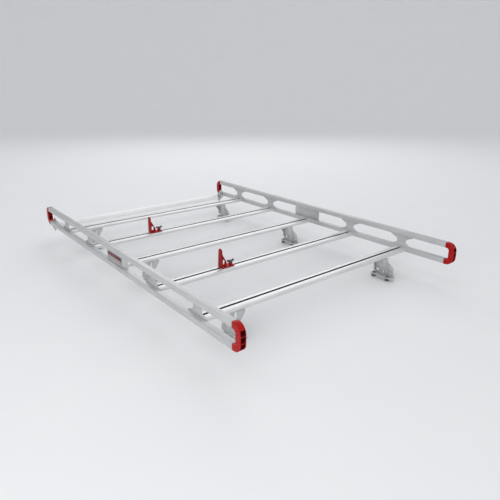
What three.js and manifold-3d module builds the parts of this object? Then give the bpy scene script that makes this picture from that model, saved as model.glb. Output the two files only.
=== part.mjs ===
// Roof-mounted ladder rack: two side frames, five slotted crossbars, six feet,
// a loading roller at the rear and two clamped ladder stops.
// Millimetres. X runs across the vehicle, Y along the rails towards the rear, Z up.
// The origin is the middle of the rack, at the level of the pads under the feet.
import * as THREE from "three";
import { mergeVertices } from "three/addons/utils/BufferGeometryUtils.js";
import Module from "manifold-3d";

const wasm = await Module();
wasm.setup();

// ---- Driving dimensions ---------------------------------------------------
const GAP = 0.3;                    // clearance kept between touching pieces

const RACK_WIDTH = 1524;            // outer face to outer face of the side rails
const RAIL_LENGTH = 2186;           // cut length of each rail tube
const RAIL_DEPTH = 30;              // tube size across the vehicle
const RAIL_HEIGHT = 29;             // tube size up and down
const RAIL_WALL = 3;
const SIDE_HEIGHT = 125.5;          // bottom of the lower rail to top of the upper rail

const PAD_HEIGHT = 18;              // standoff pads between the feet and the roof
const FOOT_HEIGHT = 115;            // foot base to the underside of the lower rail
const SIDE_BOTTOM = PAD_HEIGHT + FOOT_HEIGHT;

const BAR_Y = [-808, -404, 0, 406, 812];
const BAR_WIDTH = 81;
const BAR_THICKNESS = 17.6;
const BAR_TOP = SIDE_BOTTOM + 22.5;
const SLOT_MOUTH = 14;
const SLOT_LIP = 2.5;
const SLOT_WIDTH = 23;
const SLOT_DEPTH = 7.5;             // below the lips

const GUSSET_WIDTH = 152;
const GUSSET_WAIST = 60;
const GUSSET_WAIST_HEIGHT = 20;
const GUSSET_THICKNESS = 4;

const TRAY_LENGTH = 240;            // centre bracket, at its open inner side
const TRAY_PANEL = 204;             // flat outer panel between the two bends
const TRAY_RECESS = 9;              // panel set back from the rails' outer face
const TRAY_THICKNESS = 3.5;
const LABEL_LENGTH = 176;
const LABEL_HEIGHT = 41;
const LABEL_THICKNESS = 1.2;

const CAP_REACH = 55;               // end cap beyond the tube ends
const CAP_BAR = 32;                 // upright part of the cap, along the rail
const CAP_TOP_RADIUS = 50;
const CAP_BOTTOM_RADIUS = 46;
const CAP_PLUG = 30;                // length of the plugs inside the tubes
const CAP_WALL = 4;
const CAP_MOUTH_RADIUS = 14;        // inner corners of the C
const CAP_MOUTH_POCKET = 12;        // depth of the two pockets inside the C
const CAP_MOUTH_POCKETS = [[36, 61.5], [64.5, 90]];   // heights of their floors and ceilings
const CAP_END_POCKETS = [[20, 73], [77, 100]];

const FOOT_CROSSBARS = [0, 2, 4];
const FOOT_SHEET = 5;
const FOOT_GUSSET_SHEET = 4;
const FOOT_TOP_INNER = 507;         // distance from the centre plane to the foot's inner top edge
const FOOT_TOP_OUTER = 549;
const FOOT_LEAN = 23;               // the web leans outwards by this much over its height
const FOOT_HALF_WIDTH = 46;
const FOOT_BASE_X = [531, 575];
const FOOT_BASE_Y = [-94, 60];
const FOOT_EAR_Y = [-82, 58];       // the web is wider near its lower end
const FOOT_EAR_CHAMFER = 12;
const FOOT_SHOULDER_DROP = 20;      // drops are measured down from the side frame's underside
const FOOT_ELBOW_DROP = 50;
const FOOT_ELBOW_STEP = 14;
const FOOT_GUSSET_EDGE_X = 544;
const FOOT_GUSSET_DROP = 98;
const FOOT_WINDOW_Y = [-40, -18];
const FOOT_WINDOW_DROP = [34, 4];
const FOOT_HOLE_DROP = 88;
const FOOT_ROUND_HOLES = [[31, 9.5], [-62, 5]];       // [Y, radius]
const FOOT_SLOT_Y = [-13.5, -6.5];
const FOOT_SLOT_HALF_HEIGHT = 13;
const PAD_X = 548;
const PAD_Y = [-53, 45];
const PAD_RADIUS = 13;
const PAD_BORE = 5.5;

const ROLLER_Y = 1120;
const ROLLER_Z = SIDE_BOTTOM - 20;
const ROLLER_RADIUS = 22;
const ROLLER_WALL = 2.5;
const ROLLER_HALF_LENGTH = 711;
const AXLE_RADIUS = 6;
const AXLE_HALF_LENGTH = 741;
const BUSH_SLEEVE = 22;
const BUSH_FLANGE = 4.5;
const ROLLER_BRACKET_THICKNESS = 5;
const ROLLER_BRACKET_CORNERS = [    // [Y, height from the side frame's underside, radius]
  [1026, 16, 4], [1088, -36, 5], [1092, -47, 5], [1107, -56, 6],
  [1130, -52, 8], [1147, -26, 6], [1147, -8, 6], [1084, 49, 5],
  [1048, 33, 8], [1024, 24, 3],
];

const STOP_CROSSBARS = [1, 3];
const STOP_X = -328;                // contact face of the ladder stops
const STOP_BASE_LENGTH = 82;
const STOP_BASE_WIDTH = 44;
const STOP_HEIGHT = 109;
const STOP_SHEET = 5;
const STOP_TIP_WIDTH = 29;
const STOP_SHOULDER = 12;           // height where the upright starts to narrow
const STOP_RIB_CORNERS = [          // [X from the contact face, height above the crossbar, radius]
  [42, 24, 4], [12, 78, 8], [4, 86, 0],
];
const STOP_RIB_WINDOW = [21, 28, 8.5, 14];            // [X, height, half width, half height]
const STOP_BOSS_RADIUS = 11;        // boss round the clamping bolt
const STOP_BOSS_HEIGHT = 12;
const KNOB_OFFSET = 68.5;           // contact face to the knob's axis
const KNOB_SPAN = 45;
const KNOB_WING_THICKNESS = 7;
const KNOB_BORE_DEPTH = 11;
const KNOB_HUB_PROFILE = [          // [radius, height], upwards from the outer lower edge
  [9.5, 0], [9.5, 6], [8, 9], [8, 12], [6, 13.5], [0, 13.5],
];
const KNOB_WING_CORNERS = [         // [X, height, radius] between the hub and the wing's end
  [5, 2], [14, 3, 3], [KNOB_SPAN / 2, 7, 3], [KNOB_SPAN / 2, 17, 4], [13, 16, 4], [5, 10],
];
const BOLT_SHANK_RADIUS = 4;
const BOLT_CLEARANCE = 0.6;         // between the shank and the stop's bore
const BOLT_HEAD_WIDTH = 21;
const BOLT_HEAD_HEIGHT = 4.5;

const ROUND_STEPS = 4;              // segments in a small rounded corner

// ---- Derived values -------------------------------------------------------
const RAIL_OUTER_X = RACK_WIDTH / 2;
const RAIL_INNER_X = RAIL_OUTER_X - RAIL_DEPTH;
const RAIL_END_Y = RAIL_LENGTH / 2;
const UPPER_BOTTOM = SIDE_BOTTOM + SIDE_HEIGHT - RAIL_HEIGHT;
const LOWER_TOP = SIDE_BOTTOM + RAIL_HEIGHT;
const BAR_BOTTOM = BAR_TOP - BAR_THICKNESS;
const POSITION_NAMES = ["front", "front_mid", "middle", "rear_mid", "rear"];
const SIDES = [["left", -1], ["right", 1]];

// ---- Materials ------------------------------------------------------------
const finish = (color, roughness, metalness) => ({ color, roughness, metalness });
const ALUMINIUM = finish(0xc9cbcb, 0.35, 0.9);
const BRIGHT_ALUMINIUM = finish(0xdedfe0, 0.3, 0.9);
const STEEL = finish(0xa9abab, 0.4, 0.8);
const DARK_STEEL = finish(0x77797a, 0.45, 0.8);
const RED_PLASTIC = finish(0xb21a1d, 0.45, 0);
const RED_PAINT = finish(0xa81418, 0.4, 0.1);
const DARK_RED_LABEL = finish(0x6e2a2c, 0.5, 0);
const BLACK_PLASTIC = finish(0x3a3b3b, 0.5, 0);
const PAD_PLASTIC = finish(0x55585a, 0.6, 0);
const BUSH_PLASTIC = finish(0xd8d8d4, 0.5, 0);

const rack = new THREE.Group();

function add(name, geometry, look) {
  const mesh = new THREE.Mesh(geometry, new THREE.MeshStandardMaterial(look));
  mesh.name = name;
  rack.add(mesh);
}

// ---- Solid helpers --------------------------------------------------------
function toSolid(geometry) {
  const bare = geometry.clone();
  bare.deleteAttribute("normal");
  bare.deleteAttribute("uv");
  const merged = mergeVertices(bare, 1e-4);
  const corners = merged.index.array;
  const triangles = [];
  for (let i = 0; i < corners.length; i += 3) {
    const [a, b, c] = corners.slice(i, i + 3);
    if (a !== b && b !== c && c !== a) {
      triangles.push(a, b, c);
    }
  }
  const mesh = new wasm.Mesh({
    numProp: 3,
    vertProperties: new Float32Array(merged.attributes.position.array),
    triVerts: new Uint32Array(triangles),
  });
  return new wasm.Manifold(mesh);
}

function toGeometry(solid) {
  const mesh = solid.getMesh();
  const geometry = new THREE.BufferGeometry();
  geometry.setAttribute("position", new THREE.BufferAttribute(mesh.vertProperties, 3));
  geometry.setIndex(new THREE.BufferAttribute(mesh.triVerts, 1));
  geometry.computeVertexNormals();
  return geometry;
}

function join(...geometries) {
  const solids = geometries.map(toSolid);
  return toGeometry(solids.reduce((sum, solid) => sum.add(solid)));
}

function cut(geometry, ...tools) {
  return toGeometry(tools.map(toSolid).reduce((rest, tool) => rest.subtract(tool), toSolid(geometry)));
}

// A mirrored copy keeps its faces pointing out because each triangle is turned over.
function mirrored(geometry, axis) {
  const copy = mergeVertices(geometry.clone());
  const scale = { x: [-1, 1, 1], y: [1, -1, 1] }[axis];
  copy.scale(...scale);
  const index = copy.index.array;
  for (let i = 0; i < index.length; i += 3) {
    [index[i], index[i + 1]] = [index[i + 1], index[i]];
  }
  return copy;
}

const onSide = (geometry, side) => (side < 0 ? mirrored(geometry, "x") : geometry);

// An outline from corners [a, b, radius]; a corner with a radius is rounded.
function outline(corners, path = new THREE.Shape()) {
  const count = corners.length;
  corners.forEach(([a, b, radius = 0], i) => {
    const corner = new THREE.Vector2(a, b);
    const towards = (j) => {
      const other = corners[(j + count) % count];
      return new THREE.Vector2(other[0], other[1]).sub(corner).normalize();
    };
    const start = corner.clone().addScaledVector(towards(i - 1), radius);
    const end = corner.clone().addScaledVector(towards(i + 1), radius);
    if (i === 0) {
      path.moveTo(start.x, start.y);
    } else {
      path.lineTo(start.x, start.y);
    }
    if (radius > 0) {
      path.quadraticCurveTo(corner.x, corner.y, end.x, end.y);
    }
  });
  path.closePath();
  return path;
}

const rectangle = (a0, b0, a1, b1, radius = 0) =>
  [[a0, b0, radius], [a1, b0, radius], [a1, b1, radius], [a0, b1, radius]];

const holePath = (corners) => outline(corners, new THREE.Path());

function roundHole(a, b, radius) {
  const path = new THREE.Path();
  path.absellipse(a, b, radius, radius, 0, Math.PI * 2, false);
  return path;
}

function disc(a, b, radius) {
  const shape = new THREE.Shape();
  shape.absellipse(a, b, radius, radius, 0, Math.PI * 2, false);
  return shape;
}

function extrude(shape, depth, steps = ROUND_STEPS) {
  return new THREE.ExtrudeGeometry(shape, { depth, curveSegments: steps, bevelEnabled: false });
}

const X_AXIS = new THREE.Vector3(1, 0, 0);
const Y_AXIS = new THREE.Vector3(0, 1, 0);
const Z_AXIS = new THREE.Vector3(0, 0, 1);

// A shape drawn in (Y, Z), extruded from x0 to x1.
function alongX(shape, x0, x1, steps) {
  const turn = new THREE.Matrix4().makeBasis(Y_AXIS, Z_AXIS, X_AXIS);
  return extrude(shape, x1 - x0, steps).applyMatrix4(turn).translate(x0, 0, 0);
}

// A shape drawn in (X, Z), extruded from y0 to y1.
function alongY(shape, y0, y1, steps) {
  const turn = new THREE.Matrix4().makeBasis(X_AXIS, Z_AXIS, Y_AXIS.clone().negate());
  return extrude(shape, y1 - y0, steps).applyMatrix4(turn).translate(0, y1, 0);
}

// A shape drawn in (X, Y), extruded from z0 to z1.
function alongZ(shape, z0, z1, steps) {
  return extrude(shape, z1 - z0, steps).translate(0, 0, z0);
}

function box(x0, x1, y0, y1, z0, z1) {
  return new THREE.BoxGeometry(x1 - x0, y1 - y0, z1 - z0)
    .translate((x0 + x1) / 2, (y0 + y1) / 2, (z0 + z1) / 2);
}

// ---- Side rails -----------------------------------------------------------
function railTube(bottom) {
  const outerRadius = 3;
  const innerRadius = 1;
  const x0 = RAIL_INNER_X;
  const x1 = RAIL_OUTER_X;
  const top = bottom + RAIL_HEIGHT;
  const section = outline(rectangle(x0, bottom, x1, top, outerRadius));
  section.holes.push(holePath(rectangle(
    x0 + RAIL_WALL, bottom + RAIL_WALL, x1 - RAIL_WALL, top - RAIL_WALL, innerRadius)));
  return alongY(section, -RAIL_END_Y, RAIL_END_Y, 3);
}

for (const [sideName, side] of SIDES) {
  add(`upper_rail_${sideName}`, onSide(railTube(UPPER_BOTTOM), side), ALUMINIUM);
  add(`lower_rail_${sideName}`, onSide(railTube(SIDE_BOTTOM), side), ALUMINIUM);
}

// ---- Hourglass gussets between the rails, one at each crossbar but the middle one
function gusset(y) {
  const z0 = LOWER_TOP + GAP;
  const z1 = UPPER_BOTTOM - GAP;
  const zMid = (z0 + z1) / 2;
  const half = GUSSET_WIDTH / 2;
  const waist = GUSSET_WAIST / 2;
  const rise = GUSSET_WAIST_HEIGHT / 2;
  const lip = 2;
  const bend = 11;
  const side = (s) => [
    [y + s * half, z0 + lip, 1.5],
    [y + s * waist, zMid - rise, bend],
    [y + s * waist, zMid + rise, bend],
    [y + s * half, z1 - lip, 1.5],
  ];
  const corners = [
    [y - half, z0], [y + half, z0],
    ...side(1),
    [y + half, z1], [y - half, z1],
    ...side(-1).reverse(),
  ];
  return alongX(outline(corners), RAIL_INNER_X, RAIL_INNER_X + GUSSET_THICKNESS);
}

// ---- Centre bracket: a shallow channel, open towards the middle of the rack
function tray() {
  const inner = RAIL_INNER_X;
  const panelOut = RAIL_OUTER_X - TRAY_RECESS;
  const panelIn = panelOut - TRAY_THICKNESS;
  const outerEnd = TRAY_LENGTH / 2;
  const bend = TRAY_PANEL / 2;
  const flange = TRAY_THICKNESS * 1.3;
  const plan = outline([
    [inner, -outerEnd], [panelOut, -bend, 3], [panelOut, bend, 3], [inner, outerEnd],
    [inner, outerEnd - flange], [panelIn, bend - 1.5, 1.5],
    [panelIn, 1.5 - bend, 1.5], [inner, flange - outerEnd],
  ]);
  return alongZ(plan, LOWER_TOP + GAP, UPPER_BOTTOM - GAP, 3);
}

function labelPlate() {
  const x0 = RAIL_OUTER_X - TRAY_RECESS + GAP;
  const zMid = (LOWER_TOP + UPPER_BOTTOM) / 2;
  const shape = outline(rectangle(
    -LABEL_LENGTH / 2, zMid - LABEL_HEIGHT / 2, LABEL_LENGTH / 2, zMid + LABEL_HEIGHT / 2, 6));
  return alongX(shape, x0, x0 + LABEL_THICKNESS);
}

for (const [sideName, side] of SIDES) {
  BAR_Y.forEach((y, i) => {
    const name = POSITION_NAMES[i];
    if (name === "middle") {
      add(`centre_bracket_${sideName}`, onSide(tray(), side), ALUMINIUM);
      add(`label_plate_${sideName}`, onSide(labelPlate(), side), DARK_RED_LABEL);
    } else {
      add(`gusset_${name}_${sideName}`, onSide(gusset(y), side), ALUMINIUM);
    }
  });
}

// ---- End caps: a C shape that plugs both tubes of a side frame -------------
function endCap() {
  const start = RAIL_END_Y + GAP;
  const tip = RAIL_END_Y + CAP_REACH;
  const mouth = tip - CAP_BAR;
  const top = SIDE_BOTTOM + SIDE_HEIGHT;
  const profile = outline([
    [start, SIDE_BOTTOM], [tip, SIDE_BOTTOM, CAP_BOTTOM_RADIUS],
    [tip, top, CAP_TOP_RADIUS], [start, top],
    [start, UPPER_BOTTOM], [mouth, UPPER_BOTTOM, CAP_MOUTH_RADIUS],
    [mouth, LOWER_TOP, CAP_MOUTH_RADIUS], [start, LOWER_TOP],
  ]);
  const shell = alongX(profile, RAIL_INNER_X, RAIL_OUTER_X, 6);
  const fit = RAIL_WALL + 2 * GAP;
  const plug = (bottom) => box(
    RAIL_INNER_X + fit, RAIL_OUTER_X - fit,
    start - CAP_PLUG, start + CAP_WALL,
    bottom + fit, bottom + RAIL_HEIGHT - fit);
  const pocket = (y0, y1, [z0, z1]) => box(
    RAIL_INNER_X + CAP_WALL, RAIL_OUTER_X - CAP_WALL, y0, y1, SIDE_BOTTOM + z0, SIDE_BOTTOM + z1);
  const pocketFloor = mouth + CAP_MOUTH_POCKET;
  return cut(
    join(shell, plug(SIDE_BOTTOM), plug(UPPER_BOTTOM)),
    ...CAP_END_POCKETS.map((heights) => pocket(pocketFloor + CAP_WALL, tip + 1, heights)),
    ...CAP_MOUTH_POCKETS.map((heights) => pocket(mouth - CAP_MOUTH_RADIUS, pocketFloor, heights)));
}

for (const [sideName, side] of SIDES) {
  add(`end_cap_rear_${sideName}`, onSide(endCap(), side), RED_PLASTIC);
  add(`end_cap_front_${sideName}`, onSide(mirrored(endCap(), "y"), side), RED_PLASTIC);
}

// ---- Crossbars: hollow extrusions with one T-slot along the top ------------
function crossbar(y) {
  const half = BAR_WIDTH / 2;
  const mouth = SLOT_MOUTH / 2;
  const wide = SLOT_WIDTH / 2;
  const lipZ = BAR_TOP - SLOT_LIP;
  const floorZ = lipZ - SLOT_DEPTH;
  const wall = 2.5;
  const section = outline([
    [y - half, BAR_BOTTOM, 3], [y + half, BAR_BOTTOM, 3],
    [y + half, BAR_TOP, 5], [y + mouth, BAR_TOP, 0.8],
    [y + mouth, lipZ], [y + wide, lipZ], [y + wide, floorZ],
    [y - wide, floorZ], [y - wide, lipZ], [y - mouth, lipZ],
    [y - mouth, BAR_TOP, 0.8], [y - half, BAR_TOP, 5],
  ]);
  for (const s of [-1, 1]) {
    const a = y + s * (wide + wall);
    const b = y + s * (half - wall);
    section.holes.push(holePath(rectangle(
      Math.min(a, b), BAR_BOTTOM + wall, Math.max(a, b), BAR_TOP - wall, 2)));
  }
  const end = RAIL_INNER_X - GAP;
  return alongX(section, -end, end, 3);
}

BAR_Y.forEach((y, i) => add(`crossbar_${POSITION_NAMES[i]}`, crossbar(y), BRIGHT_ALUMINIUM));

// ---- Feet: folded steel brackets, with a leaning web and two side gussets --
function foot(y) {
  const top = BAR_BOTTOM - GAP;
  const base = PAD_HEIGHT;
  const baseTop = base + FOOT_SHEET;
  const shoulder = SIDE_BOTTOM - FOOT_SHOULDER_DROP;
  const elbow = SIDE_BOTTOM - FOOT_ELBOW_DROP;
  const slopePerMm = FOOT_LEAN / (top - baseTop);
  const half = FOOT_HALF_WIDTH;
  const [earFront, earRear] = FOOT_EAR_Y;
  const holeZ = SIDE_BOTTOM - FOOT_HOLE_DROP;

  const webShape = outline([
    [y + earFront, base + 1], [y + earRear - FOOT_EAR_CHAMFER, base + 1],
    [y + earRear, base + 1 + FOOT_EAR_CHAMFER],
    [y + earRear, elbow], [y + half, elbow + FOOT_ELBOW_STEP],
    [y + half, top], [y - half, top],
    [y - half, shoulder, 5], [y + earFront, elbow, 7],
  ]);
  const [windowFront, windowRear] = FOOT_WINDOW_Y;
  const [windowLow, windowHigh] = FOOT_WINDOW_DROP;
  webShape.holes.push(holePath(rectangle(
    y + windowFront, SIDE_BOTTOM - windowLow, y + windowRear, SIDE_BOTTOM - windowHigh, 6)));
  for (const [holeY, radius] of FOOT_ROUND_HOLES) {
    webShape.holes.push(roundHole(y + holeY, holeZ, radius));
  }
  const [slotFront, slotRear] = FOOT_SLOT_Y;
  webShape.holes.push(holePath(rectangle(
    y + slotFront, holeZ - FOOT_SLOT_HALF_HEIGHT, y + slotRear, holeZ + FOOT_SLOT_HALF_HEIGHT)));
  const lean = new THREE.Matrix4().makeShear(0, 0, 0, 0, -slopePerMm, 0);
  const web = alongX(webShape, FOOT_TOP_OUTER - FOOT_SHEET, FOOT_TOP_OUTER)
    .translate(0, 0, -top)
    .applyMatrix4(lean)
    .translate(0, 0, top);

  const gussetLow = SIDE_BOTTOM - FOOT_GUSSET_DROP;
  const webInside = (z) => FOOT_TOP_OUTER - FOOT_SHEET + 1.5 + (top - z) * slopePerMm;
  const gussetShape = outline([
    [FOOT_TOP_INNER, top], [FOOT_TOP_INNER, top - 10, 4],
    [FOOT_GUSSET_EDGE_X, elbow - 10, 5], [FOOT_GUSSET_EDGE_X, gussetLow + FOOT_ELBOW_STEP],
    [webInside(gussetLow), gussetLow], [webInside(top), top],
  ]);
  const gussets = [-half, half - FOOT_GUSSET_SHEET].map(
    (start) => alongY(gussetShape, y + start, y + start + FOOT_GUSSET_SHEET));

  const topPlate = box(
    FOOT_TOP_INNER, FOOT_TOP_OUTER - 1, y - half, y + half, top - FOOT_SHEET, top);

  const baseShape = outline(rectangle(
    FOOT_BASE_X[0], y + FOOT_BASE_Y[0], FOOT_BASE_X[1], y + FOOT_BASE_Y[1]));
  PAD_Y.forEach((padY) => baseShape.holes.push(roundHole(PAD_X, y + padY, PAD_BORE)));
  const basePlate = alongZ(baseShape, base, baseTop);

  return join(web, ...gussets, topPlate, basePlate);
}

function pad(y) {
  const h = PAD_HEIGHT - GAP;
  const profile = [
    [PAD_BORE, 0], [PAD_RADIUS, 0], [PAD_RADIUS, h], [PAD_BORE, h], [PAD_BORE, 0],
  ].map(([r, z]) => new THREE.Vector2(r, z));
  return new THREE.LatheGeometry(profile, 14)
    .rotateX(Math.PI / 2)
    .translate(PAD_X, y, 0);
}

for (const [sideName, side] of SIDES) {
  for (const i of FOOT_CROSSBARS) {
    const place = `${POSITION_NAMES[i]}_${sideName}`;
    add(`foot_${place}`, onSide(foot(BAR_Y[i]), side), STEEL);
    PAD_Y.forEach((padY, j) => {
      const geometry = onSide(pad(BAR_Y[i] + padY), side);
      add(`foot_pad_${place}_${"ab"[j]}`, geometry, PAD_PLASTIC);
    });
  }
}

// ---- Loading roller at the rear -------------------------------------------
function ringAlongX(outer, inner, x0, x1, steps) {
  const shape = disc(ROLLER_Y, ROLLER_Z, outer);
  shape.holes.push(roundHole(ROLLER_Y, ROLLER_Z, inner));
  return alongX(shape, x0, x1, steps);
}

function rollerBracket() {
  const shape = outline(ROLLER_BRACKET_CORNERS.map(
    ([y, height, radius]) => [y, SIDE_BOTTOM + height, radius]));
  shape.holes.push(roundHole(ROLLER_Y, ROLLER_Z, AXLE_RADIUS + 2 * GAP));
  const x1 = RAIL_INNER_X - GAP;
  return alongX(shape, x1 - ROLLER_BRACKET_THICKNESS, x1, 5);
}

function rollerBush() {
  const bore = AXLE_RADIUS + GAP;
  const sleeve = ROLLER_RADIUS - ROLLER_WALL - GAP;
  const face = ROLLER_HALF_LENGTH + GAP;
  const flange = ringAlongX(ROLLER_RADIUS, bore, face, face + BUSH_FLANGE, 10);
  const body = ringAlongX(sleeve, bore, face - BUSH_SLEEVE, face + 1, 10);
  return join(flange, body);
}

add("roller_tube",
  ringAlongX(ROLLER_RADIUS, ROLLER_RADIUS - ROLLER_WALL, -ROLLER_HALF_LENGTH, ROLLER_HALF_LENGTH, 18),
  BRIGHT_ALUMINIUM);
add("roller_axle",
  new THREE.CylinderGeometry(AXLE_RADIUS, AXLE_RADIUS, 2 * AXLE_HALF_LENGTH, 20)
    .rotateZ(Math.PI / 2)
    .translate(0, ROLLER_Y, ROLLER_Z),
  DARK_STEEL);
for (const [sideName, side] of SIDES) {
  add(`roller_bush_${sideName}`, onSide(rollerBush(), side), BUSH_PLASTIC);
  add(`roller_bracket_${sideName}`, onSide(rollerBracket(), side), STEEL);
}

// ---- Ladder stops: a red upright on a base, clamped in the T-slot by a wing knob
function stopBody(y) {
  const z0 = BAR_TOP + GAP;
  const baseTop = z0 + STOP_SHEET;
  const top = BAR_TOP + STOP_HEIGHT;
  const knobX = STOP_X + KNOB_OFFSET;
  const half = STOP_BASE_WIDTH / 2;
  const tip = STOP_TIP_WIDTH / 2;

  const baseShape = outline(rectangle(
    STOP_X, y - half, STOP_X + STOP_BASE_LENGTH, y + half, 3));
  const basePlate = alongZ(baseShape, z0, baseTop);
  const boss = alongZ(disc(knobX, y, STOP_BOSS_RADIUS), baseTop - 1, baseTop + STOP_BOSS_HEIGHT, 8);

  const shoulder = z0 + STOP_SHOULDER;
  const uprightShape = outline([
    [y - half, z0], [y + half, z0],
    [y + half, shoulder, 3], [y + tip, top, tip - 1], [y - tip, top, tip - 1], [y - half, shoulder, 3],
  ]);
  const upright = alongX(uprightShape, STOP_X, STOP_X + STOP_SHEET, 5);

  const [ribReach] = STOP_RIB_CORNERS[0];
  const [ribRoot] = STOP_RIB_CORNERS[STOP_RIB_CORNERS.length - 1];
  const ribShape = outline([
    [STOP_X + ribRoot, baseTop - 1], [STOP_X + ribReach, baseTop - 1],
    ...STOP_RIB_CORNERS.map(([x, height, radius]) => [STOP_X + x, BAR_TOP + height, radius]),
  ]);
  const [windowX, windowHeight, windowHalfWidth, windowHalfHeight] = STOP_RIB_WINDOW;
  const opening = new THREE.Path();
  opening.absellipse(
    STOP_X + windowX, BAR_TOP + windowHeight, windowHalfWidth, windowHalfHeight, 0, Math.PI * 2, false);
  ribShape.holes.push(opening);
  const rib = alongY(ribShape, y - STOP_SHEET / 2, y + STOP_SHEET / 2, 8);

  const bore = alongZ(
    disc(knobX, y, BOLT_SHANK_RADIUS + BOLT_CLEARANCE), z0 - 1, baseTop + STOP_BOSS_HEIGHT + 1, 5);
  return cut(join(basePlate, boss, upright, rib), bore);
}

function wingKnob(x, y) {
  const z0 = BAR_TOP + GAP + STOP_SHEET + STOP_BOSS_HEIGHT + GAP;
  const bore = BOLT_SHANK_RADIUS + 0.4;
  const profile = [[0, KNOB_BORE_DEPTH], [bore, KNOB_BORE_DEPTH], [bore, 0], ...KNOB_HUB_PROFILE];
  const hub = new THREE.LatheGeometry(profile.map(([r, z]) => new THREE.Vector2(r, z)), 14)
    .rotateX(Math.PI / 2)
    .translate(x, y, z0);
  const wing = (s) => {
    const shape = outline(KNOB_WING_CORNERS.map(([a, height, radius]) => [s * a, height, radius]));
    const half = KNOB_WING_THICKNESS / 2;
    return alongY(shape, -half, half, 4).translate(x, y, z0);
  };
  return join(hub, wing(1), wing(-1));
}

// The bolt's plate slides in the T-slot and its shank ends inside the knob.
function tBolt(x, y) {
  const headTop = BAR_TOP - SLOT_LIP - GAP;
  const half = BOLT_HEAD_WIDTH / 2;
  const shankTop = BAR_TOP + 2 * GAP + STOP_SHEET + STOP_BOSS_HEIGHT + KNOB_BORE_DEPTH - 1;
  const plate = box(x - half, x + half, y - half, y + half, headTop - BOLT_HEAD_HEIGHT, headTop);
  const length = shankTop - headTop + 1;
  const shank = new THREE.CylinderGeometry(BOLT_SHANK_RADIUS, BOLT_SHANK_RADIUS, length, 20)
    .rotateX(Math.PI / 2)
    .translate(x, y, shankTop - length / 2);
  return join(plate, shank);
}

for (const i of STOP_CROSSBARS) {
  const name = POSITION_NAMES[i];
  const knobX = STOP_X + KNOB_OFFSET;
  add(`ladder_stop_${name}`, stopBody(BAR_Y[i]), RED_PAINT);
  add(`wing_knob_${name}`, wingKnob(knobX, BAR_Y[i]), BLACK_PLASTIC);
  add(`t_bolt_${name}`, tBolt(knobX, BAR_Y[i]), DARK_STEEL);
}

export default rack;
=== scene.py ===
import math
import random

import bmesh
import bpy
from mathutils import Matrix, Vector


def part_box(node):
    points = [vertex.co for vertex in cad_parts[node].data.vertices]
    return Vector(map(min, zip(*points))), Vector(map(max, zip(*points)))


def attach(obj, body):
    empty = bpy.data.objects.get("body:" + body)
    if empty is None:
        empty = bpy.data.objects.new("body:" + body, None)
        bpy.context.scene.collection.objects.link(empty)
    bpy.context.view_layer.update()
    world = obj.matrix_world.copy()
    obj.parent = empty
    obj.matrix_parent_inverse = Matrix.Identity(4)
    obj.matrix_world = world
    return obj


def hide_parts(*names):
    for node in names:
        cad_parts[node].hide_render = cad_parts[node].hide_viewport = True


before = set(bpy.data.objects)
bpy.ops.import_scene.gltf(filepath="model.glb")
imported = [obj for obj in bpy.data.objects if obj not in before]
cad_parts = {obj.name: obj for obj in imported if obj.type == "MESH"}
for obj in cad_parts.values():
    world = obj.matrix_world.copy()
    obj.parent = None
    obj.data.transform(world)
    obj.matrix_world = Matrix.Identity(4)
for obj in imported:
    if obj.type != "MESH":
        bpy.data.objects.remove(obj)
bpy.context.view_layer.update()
MM = 0.001                  # pieces are drawn in millimetres and scaled once, in place()
rng = random.Random(7)      # one seeded stream, so every run draws the same welds and bolt turns


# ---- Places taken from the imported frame, in millimetres ---------------------
def span(node):
    """Lowest and highest corner of a CAD node in millimetres."""
    lo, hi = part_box(node)
    return lo / MM, hi / MM


POSITIONS = ["front", "front_mid", "middle", "rear_mid", "rear"]
lower_lo, lower_hi = span("lower_rail_right")
upper_lo, upper_hi = span("upper_rail_right")
RAIL_IN, RAIL_OUT = lower_lo.x, lower_hi.x
RAIL_END = lower_hi.y
LOW_Z, LOW_TOP = lower_lo.z, lower_hi.z
UP_Z, UP_TOP = upper_lo.z, upper_hi.z
BAR_SPANS = [span(f"crossbar_{p}") for p in POSITIONS]
BAR_Y = [(lo.y + hi.y) / 2 for lo, hi in BAR_SPANS]
bar_lo, bar_hi = BAR_SPANS[0]
BAR_BOTTOM, BAR_TOP = bar_lo.z, bar_hi.z
BAR_HALF = (bar_hi.y - bar_lo.y) / 2
BAR_END = bar_hi.x


# ---- Mesh helpers -------------------------------------------------------------
def shade(mesh, angle=32):
    mesh.polygons.foreach_set("use_smooth", [True] * len(mesh.polygons))
    mesh.set_sharp_from_angle(angle=math.radians(angle))


def make(name, mesh, *materials):
    for material in materials:
        mesh.materials.append(material)
    piece = bpy.data.objects.new(name, mesh)
    bpy.context.scene.collection.objects.link(piece)
    return piece


SHARED_EDGE = 0.49      # most of an edge that an arc may use when the other end is rounded too
WHOLE_EDGE = 0.98       # and when it isn't


def rounded(corners, steps=6):
    """Outline through corners (a, b, radius), each rounded with a true arc."""
    out = []
    count = len(corners)
    for i, corner in enumerate(corners):
        p = Vector(corner[:2])
        r = corner[2] if len(corner) > 2 else 0
        if r <= 0:
            out.append(p)
            continue
        u = (Vector(corners[i - 1][:2]) - p).normalized()
        v = (Vector(corners[(i + 1) % count][:2]) - p).normalized()
        half = u.angle(v) / 2
        reach = r / math.tan(half)
        for other in (corners[i - 1], corners[(i + 1) % count]):
            share = SHARED_EDGE if len(other) > 2 and other[2] > 0 else WHOLE_EDGE
            reach = min(reach, share * (Vector(other[:2]) - p).length)
        r = reach * math.tan(half)
        centre = p + (u + v).normalized() * (r / math.sin(half))
        a = p + u * reach - centre
        b = p + v * reach - centre
        turn = a.angle_signed(b)
        n = max(2, round(steps * abs(turn) / (math.pi / 2)))
        for k in range(n + 1):
            out.append(centre + Matrix.Rotation(-turn * k / n, 2) @ a)
    return out


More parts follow.
